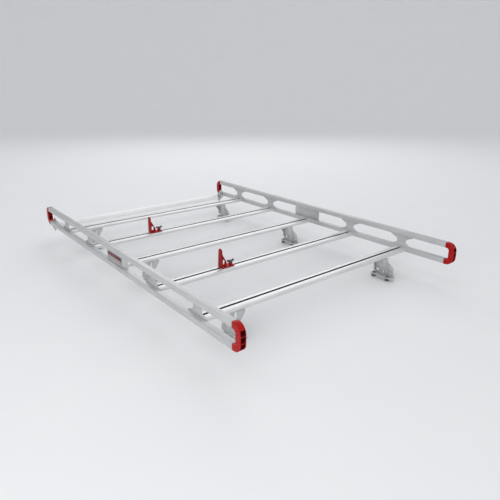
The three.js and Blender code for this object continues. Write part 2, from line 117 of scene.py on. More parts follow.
def turns(n):
    """The angles of n even steps round a circle."""
    return [2 * math.pi * k / n for k in range(n)]


def ellipse(a, b, ra, rb, n=32):
    return [Vector((a + ra * math.cos(t), b + rb * math.sin(t))) for t in turns(n)]


def circle(a, b, r, n=28):
    return ellipse(a, b, r, r, n)


def rect(a0, b0, a1, b1, r=0):
    return [(a0, b0, r), (a1, b0, r), (a1, b1, r), (a0, b1, r)]


AXES = {
    "x": Matrix(((0, 0, 1, 0), (1, 0, 0, 0), (0, 1, 0, 0), (0, 0, 0, 1))),
    "y": Matrix(((1, 0, 0, 0), (0, 0, -1, 0), (0, 1, 0, 0), (0, 0, 0, 1))),
    "z": Matrix.Identity(4),
}


def evaluated(holder):
    """A new mesh of an object as its modifiers or curve settings make it."""
    graph = bpy.context.evaluated_depsgraph_get()
    return bpy.data.meshes.new_from_object(holder.evaluated_get(graph))


def plate(outer, holes, axis, start, end, bevel=0.5, bevel_steps=2):
    """Mesh of a flat outline with holes, drawn across an axis from start to end, edges rounded.

    The drawing plane is (y, z) across x, (x, z) across y, and (x, y) across z.
    """
    curve = bpy.data.curves.new("outline", "CURVE")
    curve.dimensions = "2D"
    curve.fill_mode = "BOTH"
    for points in [outer, *holes]:
        spline = curve.splines.new("POLY")
        spline.points.add(len(points) - 1)
        for p, q in zip(spline.points, points):
            p.co = (q[0], q[1], 0, 1)
        spline.use_cyclic_u = True
    half = (end - start) / 2
    curve.bevel_depth = bevel
    curve.bevel_resolution = bevel_steps - 1
    curve.offset = -bevel
    curve.extrude = half - bevel
    holder = bpy.data.objects.new("outline", curve)
    bpy.context.scene.collection.objects.link(holder)
    mesh = evaluated(holder)
    bpy.data.objects.remove(holder)
    bpy.data.curves.remove(curve)
    middle = (start + end) / 2
    if axis == "y":
        middle = -middle
    mesh.transform(AXES[axis] @ Matrix.Translation((0, 0, middle)))
    return cleaned(mesh)


CURVE_MERGE = 0.004     # merge distance for a filled outline, in millimetres
LATHE_MERGE = 0.001


def cleaned(mesh):
    """The mesh with doubled points merged and its faces turned outwards."""
    work = bmesh.new()
    work.from_mesh(mesh)
    bmesh.ops.remove_doubles(work, verts=work.verts, dist=CURVE_MERGE)
    bmesh.ops.recalc_face_normals(work, faces=work.faces)
    work.to_mesh(mesh)
    work.free()
    return mesh


def lathe(profile, n=40):
    """Turned mesh about +Z from (radius, height) pairs; a closed profile makes a ring."""
    work = bmesh.new()
    rings = []
    for r, z in profile:
        if r == 0:
            rings.append([work.verts.new((0, 0, z))])
        else:
            rings.append([work.verts.new((r * math.cos(t), r * math.sin(t), z))
                          for t in turns(n)])
    for low, high in zip(rings, rings[1:]):
        for k in range(n):
            j = (k + 1) % n
            quad = [low[k % len(low)], low[j % len(low)],
                    high[j % len(high)], high[k % len(high)]]
            face = list(dict.fromkeys(quad))    # a point on the axis gives a triangle
            if len(face) > 2:
                work.faces.new(face)
    mesh = bpy.data.meshes.new("turned")
    bmesh.ops.remove_doubles(work, verts=work.verts, dist=LATHE_MERGE)
    bmesh.ops.recalc_face_normals(work, faces=work.faces)
    work.to_mesh(mesh)
    work.free()
    return mesh


def moved(mesh, matrix):
    """The mesh moved, with its faces still outwards when the matrix mirrors it."""
    mesh.transform(matrix)
    if matrix.determinant() < 0:
        mesh.flip_normals()
    return mesh


def at(x=0, y=0, z=0):
    return Matrix.Translation((x, y, z))


# The side parts are drawn on the right and the end caps at the rear, then mirrored.
AS_DRAWN = Matrix.Identity(4)
MIRROR_X = Matrix.Scale(-1, 4, (1, 0, 0))
MIRROR_Y = Matrix.Scale(-1, 4, (0, 1, 0))
SIDES = [("left", MIRROR_X), ("right", AS_DRAWN)]
ENDS = [("rear", AS_DRAWN), ("front", MIRROR_Y)]
UP_TO_OUTSIDE = Matrix.Rotation(math.pi / 2, 4, "Y")        # turns +Z to +X
UP_TO_INSIDE = Matrix.Rotation(-math.pi / 2, 4, "Y")        # turns +Z to -X
UPSIDE_DOWN = Matrix.Rotation(math.pi, 4, "X")


def joined(*meshes):
    """One mesh from several, each with material 0.

    An entry may also be (mesh, material number), or (mesh, None) to keep its own numbers.
    """
    work = bmesh.new()
    for entry in meshes:
        mesh, index = entry if isinstance(entry, tuple) else (entry, 0)
        before = len(work.faces)
        work.from_mesh(mesh)
        work.faces.ensure_lookup_table()
        if index is not None:
            for face in work.faces[before:]:
                face.material_index = index
        bpy.data.meshes.remove(mesh)
    out = bpy.data.meshes.new("joined")
    work.to_mesh(out)
    work.free()
    return out


def welded(*parts, beads):
    """Parts in the first material and their weld beads in the second."""
    return joined(*parts, *[(bead, 1) for bead in beads])


def bool_cut(mesh, *tools):
    """The mesh with each tool's volume taken away."""
    base = make("cut_base", mesh)
    helpers = []
    for tool in tools:
        helper = make("cut_tool", tool)
        helpers.append(helper)
        modifier = base.modifiers.new("cut", "BOOLEAN")
        modifier.operation = "DIFFERENCE"
        modifier.solver = "EXACT"
        modifier.object = helper
    result = evaluated(base)
    for holder in [base, *helpers]:
        bpy.data.objects.remove(holder)
    return result


def softened(mesh, width, steps=2, angle=30):
    """The mesh with real rounded edges wherever two faces meet at more than the angle."""
    base = make("soft_base", mesh)
    modifier = base.modifiers.new("round", "BEVEL")
    modifier.width = width
    modifier.segments = steps
    modifier.limit_method = "ANGLE"
    modifier.angle_limit = math.radians(angle)
    modifier.use_clamp_overlap = True
    result = evaluated(base)
    bpy.data.objects.remove(base)
    return result


def prism(outline, axis, start, end):
    """A straight-sided solid, used as a cutting tool."""
    return plate(outline, [], axis, start, end, bevel=0.01, bevel_steps=1)


WELD_SIDES = 8          # points round a bead
WELD_STEPS = 4          # rings to a ripple
WELD_RIPPLE = 0.16      # height of a ripple, as a share of the bead's radius
WELD_JITTER = 0.05
WELD_TAPER = 6          # how fast a bead grows from its ends, and the share of its radius there
WELD_END = 0.35


def weld(p0, p1, radius, pitch=3.2):
    """A rippled weld bead from p0 to p1."""
    p0, p1 = Vector(p0), Vector(p1)
    length = (p1 - p0).length
    direction = (p1 - p0).normalized()
    side = direction.orthogonal().normalized()
    up = direction.cross(side)
    work = bmesh.new()
    rings = []
    total = max(6, round(length / pitch)) * WELD_STEPS
    for i in range(total + 1):
        t = i / total
        phase = 2 * math.pi * (i % WELD_STEPS) / WELD_STEPS
        wave = 1 + WELD_RIPPLE * math.cos(phase) + rng.uniform(-WELD_JITTER, WELD_JITTER)
        r = radius * wave * min(1, WELD_TAPER * min(t, 1 - t) + WELD_END)
        centre = p0 + direction * (t * length)
        rings.append([work.verts.new(centre + (side * math.cos(a) + up * math.sin(a)) * r)
                      for a in turns(WELD_SIDES)])
    for low, high in zip(rings, rings[1:]):
        for k in range(WELD_SIDES):
            j = (k + 1) % WELD_SIDES
            work.faces.new([low[k], low[j], high[j], high[k]])
    work.faces.new(rings[0][::-1])
    work.faces.new(rings[-1])
    mesh = bpy.data.meshes.new("weld")
    bmesh.ops.recalc_face_normals(work, faces=work.faces)
    work.to_mesh(mesh)
    work.free()
    return mesh


SEAT = 0.15     # how far a bolt or collar sinks into its seat, so that no two faces coincide


def hex_bolt(across=13, height=5.5, washer=9, washer_height=1.6):
    """A hexagon head on a washer, seated on z = 0 and pointing up +Z."""
    r = across / 2 / math.cos(math.pi / 6)
    phase = rng.uniform(0, math.pi / 3)
    head = [Vector((r * math.cos(phase + math.pi / 3 * k), r * math.sin(phase + math.pi / 3 * k)))
            for k in range(6)]
    top = washer_height + height
    body = softened(prism(head, "z", washer_height - SEAT, top), 0.7, 2)
    dish = lathe([(0, top + SEAT), (across * 0.36, top + SEAT), (across * 0.43, top - 0.5),
                  (0, top - 0.5)], 30)
    ring = lathe([(0, -SEAT), (washer - 0.4, -SEAT), (washer, 0.4), (washer, washer_height - 0.4),
                  (washer - 0.4, washer_height), (0, washer_height)], 32)
    return joined(body, dish, ring)


def place(name, mesh, body, materials, replaces=(), angle=32):
    """Scales a finished mesh to metres, gives it its finish and rides it on its body."""
    mesh.transform(Matrix.Scale(MM, 4))
    shade(mesh, angle)
    piece = make(name, mesh, *materials)
    if replaces:
        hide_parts(*replaces)
    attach(piece, body)


# ---- Materials ---------------------------------------------------------------
SHARP_DOT = 0.80        # the two normals' dot product at a fully worn edge, and on a flat face
FLAT_DOT = 0.985
WORN_EDGE = 0.0012      # width of the worn edges of metal and plastic, and of paint, in metres
PAINT_EDGE = 0.0009


class Nodes:
    """Short calls for building one material's node tree."""

    def __init__(self, name):
        self.material = bpy.data.materials.new(name)
        self.material.use_nodes = True
        self.tree = self.material.node_tree
        self.tree.nodes.clear()
        self.out = self.add("ShaderNodeOutputMaterial")
        self.shader = self.add("ShaderNodeBsdfPrincipled")
        self.link(self.shader.outputs[0], self.out.inputs["Surface"])
        self.coords = self.add("ShaderNodeTexCoord").outputs["Object"]

    def add(self, kind, **values):
        node = self.tree.nodes.new(kind)
        for key, value in values.items():
            setattr(node, key, value)
        return node

    def link(self, a, b):
        self.tree.links.new(a, b)

    def scaled(self, scale):
        node = self.add("ShaderNodeMapping")
        node.inputs["Scale"].default_value = scale
        self.link(self.coords, node.inputs["Vector"])
        return node.outputs[0]

    def noise(self, scale, detail=4, rough=0.55, stretch=(1, 1, 1)):
        node = self.add("ShaderNodeTexNoise")
        node.inputs["Scale"].default_value = scale
        node.inputs["Detail"].default_value = detail
        node.inputs["Roughness"].default_value = rough
        self.link(self.scaled(stretch), node.inputs["Vector"])
        return node.outputs["Fac"]

    def ramp(self, value, lo, hi, from_lo=0.3, from_hi=0.7):
        node = self.add("ShaderNodeMapRange")
        node.inputs["From Min"].default_value = from_lo
        node.inputs["From Max"].default_value = from_hi
        node.inputs["To Min"].default_value = lo
        node.inputs["To Max"].default_value = hi
        self.link(value, node.inputs["Value"])
        return node.outputs[0]

    def colour(self, value, a, b, pos=(0.0, 1.0)):
        node = self.add("ShaderNodeValToRGB")
        node.color_ramp.elements[0].position = pos[0]
        node.color_ramp.elements[1].position = pos[1]
        node.color_ramp.elements[0].color = (*a, 1)
        node.color_ramp.elements[1].color = (*b, 1)
        self.link(value, node.inputs[0])
        return node.outputs[0]

    def mix(self, factor, a, b, blend="MIX"):
        node = self.add("ShaderNodeMix", data_type="RGBA", blend_type=blend)
        for socket, value in ((0, factor), (6, a), (7, b)):
            if isinstance(value, tuple):
                node.inputs[socket].default_value = (*value, 1)
            elif isinstance(value, (float, int)):
                node.inputs[socket].default_value = value
            else:
                self.link(value, node.inputs[socket])
        return node.outputs[2]

    def math(self, operation, a, b=0.5):
        node = self.add("ShaderNodeMath", operation=operation)
        for socket, value in ((0, a), (1, b)):
            if isinstance(value, (float, int)):
                node.inputs[socket].default_value = value
            else:
                self.link(value, node.inputs[socket])
        return node.outputs[0]

    def bump(self, *layers):
        """Each layer is (height, strength, distance in metres)."""
        normal = None
        for height, strength, distance in layers:
            node = self.add("ShaderNodeBump")
            node.inputs["Strength"].default_value = strength
            node.inputs["Distance"].default_value = distance
            self.link(height, node.inputs["Height"])
            if normal is not None:
                self.link(normal, node.inputs["Normal"])
            normal = node.outputs[0]
        self.link(normal, self.shader.inputs["Normal"])

    def edges(self, radius):
        """About 0 on flats and 1 along edges, from the angle between true and rounded normal."""
        bevel = self.add("ShaderNodeBevel", samples=4)
        bevel.inputs["Radius"].default_value = radius
        geometry = self.add("ShaderNodeNewGeometry")
        dot = self.add("ShaderNodeVectorMath", operation="DOT_PRODUCT")
        self.link(bevel.outputs[0], dot.inputs[0])
        self.link(geometry.outputs["Normal"], dot.inputs[1])
        return self.ramp(dot.outputs["Value"], 1, 0, SHARP_DOT, FLAT_DOT)

    def set(self, **sockets):
        for key, value in sockets.items():
            name = key.replace("_", " ").title().replace("Ior", "IOR")
            socket = self.shader.inputs[name]
            if isinstance(value, tuple):
                socket.default_value = (*value, 1)
            elif isinstance(value, (float, int)):
                socket.default_value = value
            else:
                self.link(value, socket)


def srgb(r, g, b):
    """A linear colour from 0 to 255 screen values."""
    return tuple((c / 12.92 if c <= 0.04045 else ((c + 0.055) / 1.055) ** 2.4)
                 for c in (v / 255 for v in (r, g, b)))


def metal(name, light, dark, along, rough=(0.32, 0.46), metallic=0.45, grain=0.12):
    """Extruded or brushed metal: fine lines along one axis, clouds, small pits, bright edges."""
    m = Nodes(name)
    stretch = {"x": (1, 60, 60), "y": (60, 1, 60), "z": (60, 60, 1)}[along]
    lines = m.noise(22, 5, 0.65, stretch)
    fine = m.noise(90, 3, 0.6, stretch)
    clouds = m.noise(5.5, 4, 0.5)
    pits = m.noise(700, 2, 0.5)
    tone = m.math("ADD", m.math("MULTIPLY", lines, 0.55), m.math("MULTIPLY", clouds, 0.45))
    base = m.colour(tone, dark, light, (0.36, 0.62))
    edge = m.math("MULTIPLY", m.edges(WORN_EDGE), m.ramp(m.noise(45, 3), 0.2, 1))
    brighter = tuple(min(1, c * 1.18) for c in light)
    base = m.mix(m.math("MULTIPLY", edge, 0.5), base, brighter)
    roughness = m.math("ADD", m.ramp(fine, *rough), m.ramp(clouds, -0.04, 0.05))
    m.set(base_color=base, roughness=roughness, metallic=metallic)
    m.bump((lines, grain, 0.0004), (pits, 0.05, 0.0002))
    return m.material


def plastic(name, light, dark, rough=(0.34, 0.5), texture=900, strength=0.12, coat=0.0,
            gloss=0.5):
    """Moulded plastic with a fine grained skin, uneven sheen and scuffed edges."""
    m = Nodes(name)
    skin = m.noise(texture, 2, 0.5)
    clouds = m.noise(14, 4, 0.55)
    scuffs = m.noise(60, 5, 0.7, (1, 1, 5))
    base = m.colour(clouds, dark, light, (0.34, 0.66))
    edge = m.math("MULTIPLY", m.edges(WORN_EDGE), m.ramp(scuffs, 0, 1, 0.4, 0.65))
    pale = tuple(min(1, 0.6 * c + 0.18) for c in light)
    base = m.mix(m.math("MULTIPLY", edge, 0.35), base, pale)
    roughness = m.math("ADD", m.ramp(clouds, *rough), m.ramp(scuffs, -0.04, 0.07))
    m.set(base_color=base, roughness=roughness, metallic=0.0, coat_weight=coat,
          specular_ior_level=gloss)
    m.bump((skin, strength, 0.0002), (clouds, 0.04, 0.001))
    return m.material


def paint(name, light, dark):
    """Powder coat: orange-peel surface, slight tone change, worn edges."""
    m = Nodes(name)
    peel = m.noise(420, 2, 0.5)
    clouds = m.noise(18, 3, 0.5)
    chips = m.noise(130, 4, 0.6)
    base = m.colour(clouds, dark, light, (0.35, 0.65))
    edge = m.math("MULTIPLY", m.edges(PAINT_EDGE), m.ramp(chips, 0, 1, 0.5, 0.62))
    base = m.mix(m.math("MULTIPLY", edge, 0.4), base, srgb(214, 120, 110))
    m.set(base_color=base, roughness=m.ramp(clouds, 0.28, 0.4), metallic=0.0,
          specular_ior_level=0.2)
    m.bump((peel, 0.18, 0.0003))
    return m.material


def label_finish(name, low_z, high_z):
    """A printed panel: a dark red field over a grey one, a thin pale border, no lettering."""
    m = Nodes(name)
    split = m.add("ShaderNodeSeparateXYZ")
    m.link(m.coords, split.inputs[0])
    wobble = m.ramp(m.noise(30, 3), -0.0006, 0.0006)
    height = m.math("ADD", split.outputs["Z"], wobble)
    rise = high_z - low_z
    upper = m.ramp(height, 0, 1, low_z + 0.42 * rise, low_z + 0.50 * rise)
    fibre = m.noise(300, 3, 0.6)
    red = m.colour(fibre, srgb(84, 26, 26), srgb(106, 40, 38), (0.3, 0.7))
    grey = m.colour(fibre, srgb(152, 136, 134), srgb(178, 168, 166), (0.3, 0.7))
    base = m.mix(upper, grey, red)
    m.set(base_color=base, roughness=m.ramp(m.noise(40, 4), 0.38, 0.55), metallic=0.0,
          coat_weight=0.15)
    m.bump((fibre, 0.08, 0.0002))
    return m.material


RAIL = metal("rail_aluminium", srgb(205, 206, 206), srgb(188, 190, 190), "y")
BAR = metal("crossbar_aluminium", srgb(231, 232, 232), srgb(214, 215, 215), "x",
            rough=(0.28, 0.4))
# Dark grey on the faces inside the crossbar's slot: painted shade for the slot's hollow.
SLOT_SHADE = metal("slot_painted_shade", srgb(98, 99, 99), srgb(72, 73, 73), "x", rough=(0.5, 0.65))
PLATE = metal("plate_aluminium", srgb(203, 204, 204), srgb(184, 186, 186), "y",
              rough=(0.36, 0.5), grain=0.2)
FOOT = metal("foot_steel", srgb(208, 209, 208), srgb(188, 189, 189), "z",
             rough=(0.34, 0.48), grain=0.25)
ROLLER = metal("roller_aluminium", srgb(252, 252, 252), srgb(244, 244, 244), "x",
               rough=(0.3, 0.4), metallic=0.1)
HARDWARE = metal("hardware_steel", srgb(163, 164, 165), srgb(125, 127, 129), "z",
                 rough=(0.28, 0.42), metallic=0.95)
WELD = metal("weld_bead", srgb(196, 197, 196), srgb(150, 151, 150), "x",
             rough=(0.35, 0.55), grain=0.3)
CAP = plastic("cap_plastic", srgb(178, 13, 13), srgb(157, 7, 7), rough=(0.2, 0.34), gloss=0.2)
# Darker red on the faces deep in the cap's pockets: painted shade for the pockets' hollows.
CAP_POCKET_SHADE = plastic("cap_pocket_painted_shade", srgb(104, 8, 12), srgb(74, 5, 8),
                     rough=(0.5, 0.66), gloss=0.1)
KNOB = plastic("knob_plastic", srgb(74, 74, 76), srgb(50, 50, 52), rough=(0.25, 0.4),
               texture=700, strength=0.2, coat=0.3)
PAD = plastic("pad_plastic", srgb(100, 102, 104), srgb(81, 83, 84), rough=(0.45, 0.6))
BUSH = plastic("bush_plastic", srgb(222, 222, 216), srgb(204, 204, 198))
STOP = paint("stop_paint", srgb(166, 17, 17), srgb(142, 11, 11))
label_lo, label_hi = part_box("label_plate_right")
LABEL = label_finish("label_film", label_lo.z, label_hi.z)


# ---- Side rails ----------------------------------------------------------------
RAIL_WALL = 3

for side_name, flip in SIDES:
    for level, z0, z1 in (("lower", LOW_Z, LOW_TOP), ("upper", UP_Z, UP_TOP)):
        outer = rounded(rect(RAIL_IN, z0, RAIL_OUT, z1, 3.2))
        inner = rounded(rect(RAIL_IN + RAIL_WALL, z0 + RAIL_WALL,
                             RAIL_OUT - RAIL_WALL, z1 - RAIL_WALL, 1.2), 3)
        tube = plate(outer, [inner], "y", -RAIL_END, RAIL_END, bevel=0.4)
        node = f"{level}_rail_{side_name}"
        place(f"{node}_tube", moved(tube, flip), "rack", [RAIL], [node])


# ---- Gussets with their weld beads ------------------------------------------------
GUSSET_THICKNESS = 4
GUSSET_WAIST = 30           # half the width of the narrow middle
GUSSET_RISE = 10            # half its height
GUSSET_CURVE = 13
GUSSET_EDGE = 2.2           # height of the upright edge beside each rail


def gusset(lo, hi):
    mid_y, mid_z = (lo.y + hi.y) / 2, (lo.z + hi.z) / 2
    half = (hi.y - lo.y) / 2
    low, high = lo.z + GUSSET_EDGE, hi.z - GUSSET_EDGE
    waist, rise, curve = GUSSET_WAIST, GUSSET_RISE, GUSSET_CURVE
    corners = [
        (mid_y - half, lo.z), (mid_y + half, lo.z), (mid_y + half, low, 1),
        (mid_y + waist, mid_z - rise, curve), (mid_y + waist, mid_z + rise, curve),
        (mid_y + half, high, 1), (mid_y + half, hi.z), (mid_y - half, hi.z),
        (mid_y - half, high, 1), (mid_y - waist, mid_z + rise, curve),
        (mid_y - waist, mid_z - rise, curve), (mid_y - half, low, 1),
    ]
    body = plate(rounded(corners, 8), [], "x", RAIL_IN, RAIL_IN + GUSSET_THICKNESS, bevel=0.6)
    x = RAIL_IN + GUSSET_THICKNESS + 0.2
    beads = [weld((x, mid_y - half + 3, z), (x, mid_y + half - 3, z), 1.7)
             for z in (lo.z + 0.4, hi.z - 0.4)]
    return welded(body, beads=beads)


for side_name, flip in SIDES:
    for p in POSITIONS:
        if p == "middle":
            continue
        node = f"gusset_{p}_{side_name}"
        place(f"{node}_plate", moved(gusset(*span(f"gusset_{p}_right")), flip), "rack",
              [PLATE, WELD], [node])


# ---- Centre brackets and their label plates -----------------------------------------
BRACKET_SHEET = 3.5
BRACKET_BEND = 102          # half the length of the flat panel, where the sheet bends inwards
LABEL_RIM = 2
RIVET_INSET = 7


def centre_bracket():
    lo, hi = span("centre_bracket_right")
    panel, end, bend = hi.x, hi.y, BRACKET_BEND
    inner = panel - BRACKET_SHEET
    plan = rounded([
        (lo.x, -end, 0), (panel, -bend, 7), (panel, bend, 7), (lo.x, end, 0),
        (lo.x, end - 4.6, 0), (inner, bend - 1.6, 4), (inner, 1.6 - bend, 4), (lo.x, 4.6 - end, 0),
    ], 8)
    body = plate(plan, [], "z", lo.z, hi.z, bevel=0.6)
    beads = [weld((lo.x + 1.5, s * (end - 3), lo.z + 0.5),
                  (panel - 1.0, s * (bend + 3), lo.z + 0.5), 1.4) for s in (-1, 1)]
    beads += [weld((panel - 0.4, -bend + 8, z), (panel - 0.4, bend - 8, z), 1.5)
              for z in (lo.z + 0.4, hi.z - 0.4)]
    return welded(body, beads=beads)


def label_plate():
    lo, hi = span("label_plate_right")
    outer = rounded(rect(lo.y, lo.z, hi.y, hi.z, 6), 8)
    body = plate(outer, [], "x", lo.x, hi.x - 0.25, bevel=0.3)
    rim_in = rounded(rect(lo.y + LABEL_RIM, lo.z + LABEL_RIM,
                          hi.y - LABEL_RIM, hi.z - LABEL_RIM, 4.4), 8)
    rim = plate(outer, [rim_in], "x", hi.x - 0.5, hi.x, bevel=0.12, bevel_steps=1)
    rivets = []
    for y in (lo.y + RIVET_INSET, hi.y - RIVET_INSET):
        for z in (lo.z + RIVET_INSET, hi.z - RIVET_INSET):
            head = lathe([(0, 0.25), (1.2, 0.2), (2.0, 0.0), (2.3, -0.3), (0, -0.3)], 20)
            rivets.append((moved(head, at(hi.x - 0.27, y, z) @ UP_TO_OUTSIDE), 1))
    return joined(body, rim, *rivets)


for side_name, flip in SIDES:
    node = f"centre_bracket_{side_name}"
    place(f"{node}_channel", moved(centre_bracket(), flip), "rack",
          [PLATE, WELD], [node])
    node = f"label_plate_{side_name}"
    place(f"{node}_panel", moved(label_plate(), flip), "rack",
          [LABEL, HARDWARE], [node])


# ---- End caps -----------------------------------------------------------------------
CAP_MOUTH = 32                                          # from the tip back to the open mouth
CAP_WALL = 3.2                                          # side wall beside the pockets
CAP_END_POCKETS = ((20, 45), (48, 74.5), (77.5, 101))   # heights above the cap's bottom
CAP_MOUTH_POCKETS = ((37, 61), (65, 89))
PLUG_GAP = 3.6                                          # round the plug inside a rail
PLUG_HEIGHT = 25.4


def in_deep_pocket(face, x0, x1, mouth, tip, bottom):
    """Whether a face of the cap lies well inside a pocket, by its centre and its normal."""
    c, n = face.center, face.normal
    height = c.z - bottom
    if not (x0 - 0.4 < c.x < x1 + 0.4 and 19 < height < 102):
        return False
    is_side = abs(n.y) < 0.2
    if mouth + 15.5 < c.y < tip - 1.5 and (n.y > 0.9 or is_side):
        return c.y < tip - 4
    if mouth - 13 < c.y < mouth + 12 and 36 < height < 90 and (n.y < -0.9 or is_side):
        return c.y > mouth + 1
    return False


def end_cap():
    lo, hi = span("end_cap_rear_right")
    start, tip, bottom = RAIL_END + 0.3, hi.y, lo.z
    mouth = tip - CAP_MOUTH
    profile = rounded([
        (start, lo.z, 0), (tip, lo.z, 42), (tip, hi.z, 45), (start, hi.z, 0),
        (start, UP_Z, 0), (mouth, UP_Z, 15), (mouth, LOW_TOP, 15), (start, LOW_TOP, 0),
    ], 12)
    shell = plate(profile, [], "x", lo.x, hi.x, bevel=1.6, bevel_steps=3)
    x0, x1 = lo.x + CAP_WALL, hi.x - CAP_WALL
    pockets = []
    for y0, y1, heights in ((mouth + 16.2, tip + 4, CAP_END_POCKETS),
                            (mouth - 14, mouth + 11.5, CAP_MOUTH_POCKETS)):
        for low, high in heights:
            z0, z1 = bottom + low, bottom + high
            outline = rounded([(y0, z0, 1.5), (y1, z0, 0), (y1, z1, 0), (y0, z1, 1.5)], 3)
            pockets.append(prism(outline, "x", x0, x1))
    body = softened(bool_cut(shell, *pockets), 0.7, 2, 35)
    # Faces deep in the pockets take the second material, the painted shade.
    for face in body.polygons:
        face.material_index = int(in_deep_pocket(face, x0, x1, mouth, tip, bottom))
    plugs = []
    for z in (LOW_Z, UP_Z):
        block = rounded(rect(lo.x + PLUG_GAP, z + PLUG_GAP, hi.x - PLUG_GAP, z + PLUG_HEIGHT, 2), 3)
        plugs.append(plate(block, [], "y", RAIL_END - 29, RAIL_END + 3, bevel=0.8))
    return joined((body, None), *plugs)


for side_name, flip in SIDES:
    for end_name, turn in ENDS:
        node = f"end_cap_{end_name}_{side_name}"
        place(f"{node}_moulding", moved(end_cap(), flip @ turn), "rack",
              [CAP, CAP_POCKET_SHADE], [node])


# ---- Crossbars and their end bolts -----------------------------------------------------
SLOT_MOUTH = 7              # half the slot's width between its lips, and under them
SLOT_WIDE = 11.5
SLOT_LIP = 2.5
SLOT_DEPTH = 7.5            # under the lips
BAR_BOLT_OFFSET = 38        # along Y, to each side of the crossbar's middle
BAR_BOLT_INSET = 4.85       # the bolts' seat, in from the rail's outer face


def bar_half_profile(y, s):
    """Outer corners of a crossbar from the slot's edge down one side, s = -1 or 1."""
    b, t, h = BAR_BOTTOM, BAR_TOP, BAR_HALF
    corners = [
        (SLOT_MOUTH, t, 0.8), (h - 14, t, 0), (h - 9.5, t - 0.9, 3),            # top land
        (h - 1.2, t - 3.6, 2.5), (h, t - 6, 2),                                 # shoulder
        (h, b + 6.8, 0.4), (h - 1.1, b + 6.4, 0.3), (h - 1.1, b + 5.2, 0.3),    # side groove
        (h, b + 4.8, 0.4), (h, b, 2.4),
        (22, b, 0.4), (21.4, b + 0.8, 0.3), (19.6, b + 0.8, 0.3), (19, b, 0.4),  # under groove
    ]
    return [(y + s * offset, z, radius) for offset, z, radius in corners]


def crossbar(y):
    b, t, h = BAR_BOTTOM, BAR_TOP, BAR_HALF
    mouth, wide = SLOT_MOUTH, SLOT_WIDE
    lip = t - SLOT_LIP
    floor = lip - SLOT_DEPTH
    corners = bar_half_profile(y, 1) + bar_half_profile(y, -1)[::-1] + [
        (y - mouth, lip, 0.3), (y - wide, lip, 0.5), (y - wide, floor, 0.8),
        (y + wide, floor, 0.8), (y + wide, lip, 0.5), (y + mouth, lip, 0.3),
    ]
    chambers = []
    for s in (-1, 1):
        a, c = sorted((y + s * (wide + 2.5), y + s * (h - 3.6)))
        chambers.append(rounded(rect(a, b + 2.5, c, t - 5.2, 2), 3))
    mesh = plate(rounded(corners, 5), chambers, "x", -BAR_END, BAR_END, bevel=0.25, bevel_steps=1)
    # Faces inside the slot take the second material, the painted shade.
    for face in mesh.polygons:
        c = face.center
        if abs(c.y - y) < wide + 0.2 and floor - 0.2 < c.z < t - 0.35:
            face.material_index = 1
    return mesh


for p, y in zip(POSITIONS, BAR_Y):
    node = f"crossbar_{p}"
    place(f"{node}_extrusion", crossbar(y), "rack", [BAR, SLOT_SHADE], [node])

BOLT_Z = (BAR_BOTTOM + BAR_TOP) / 2
for side_name, flip in SIDES:
    heads = []
    for y in BAR_Y:
        for offset in (-BAR_BOLT_OFFSET, BAR_BOLT_OFFSET):
            head = hex_bolt(across=12, height=3.4, washer=8, washer_height=1.2)
            seat = at(RAIL_OUT - BAR_BOLT_INSET, y + offset, BOLT_Z)
            heads.append(moved(head, seat @ UP_TO_OUTSIDE))
    place(f"crossbar_bolts_{side_name}", moved(joined(*heads), flip), "rack",
          [HARDWARE])


# ---- Feet ----------------------------------------------------------------------------
FOOT_HALF = 46              # half the width of the upper part
FOOT_FRONT, FOOT_REAR = 82, 58                  # reach of the lower part from the crossbar's middle
WEB_IN, WEB_OUT = 544, 549                      # the upright web, at its top
WEB_LEAN = 23                                   # how far the web leans out on its way down
FLANGE_IN = 507
FLANGE_THICKNESS = 5
SOLE_THICKNESS = 5
SOLE_IN, SOLE_OUT = 531, 575
SOLE_FRONT, SOLE_REAR = 93, 60
SOLE_BEAD_X = 565.6
LIP_IN, LIP_OUT = 570.8, 574.8                  # the low rim along the sole's outer edge
PAD_BOLTS = (-53, 45)                           # along Y, from the crossbar's middle
PAD_HOLE_X, PAD_BOLT_X = 548, 547.5
FLANGE_BOLTS = (-24, 24)
FLANGE_BOLT_X = 520
GUSSET_LOW = 98                                 # bottom of the side gussets, under the rail


